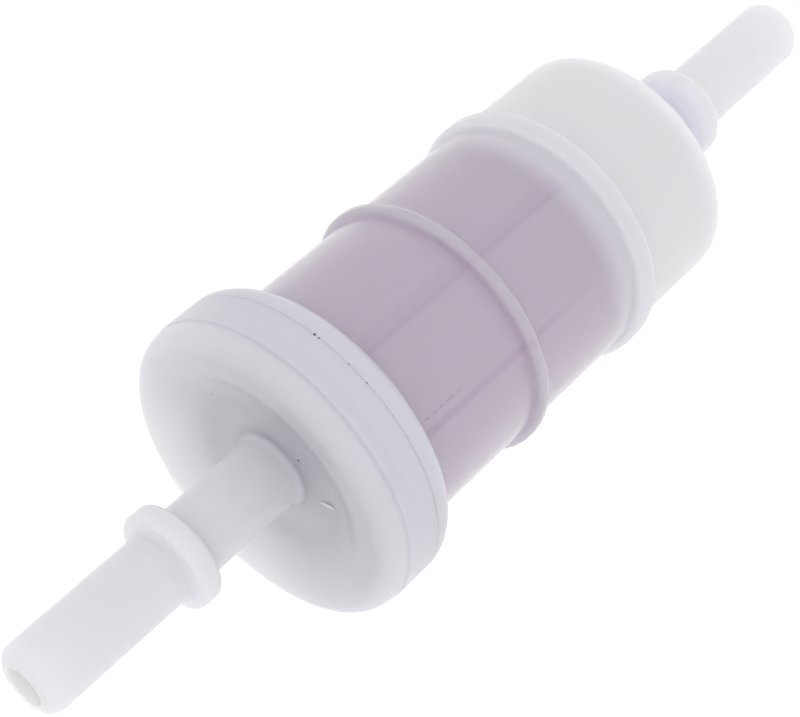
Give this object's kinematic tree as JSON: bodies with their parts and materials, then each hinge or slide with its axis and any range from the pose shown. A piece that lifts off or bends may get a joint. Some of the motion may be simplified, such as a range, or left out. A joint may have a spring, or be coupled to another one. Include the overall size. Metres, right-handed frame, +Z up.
{
  "type": "fuel filter",
  "caption": "In-line fuel filter: translucent barrel with a dished flange, a pleated element inside and a beaded quick-connect spigot at each end.",
  "frame": {"origin": "on the filter's axis, halfway between the tips of the two spigots", "axes": "+X along the axis from the inlet (flange) end to the outlet end, +Z up; the part is round about X"},
  "size_m": [0.1248, 0.0354, 0.0354],
  "materials": {
    "milky_nylon": "milky translucent, soft gloss",
    "white_plastic": "satin white",
    "potting": "soft off-white compound",
    "filter_paper": "resin-treated lavender paper",
    "clip_plastic": "matte",
    "seal_rubber": "matte black"
  },
  "bodies": {
    "root": {"inlet_cap": "milky_nylon", "housing": "milky_nylon", "inlet_end_disc": "white_plastic", "outlet_end_disc": "white_plastic", "core_tube": "white_plastic", "inlet_potting": "potting", "outlet_potting": "potting", "pleated_media": "filter_paper", "seam_clip": "clip_plastic", "neck_seal": "seal_rubber"}
  },
  "joints": []
}
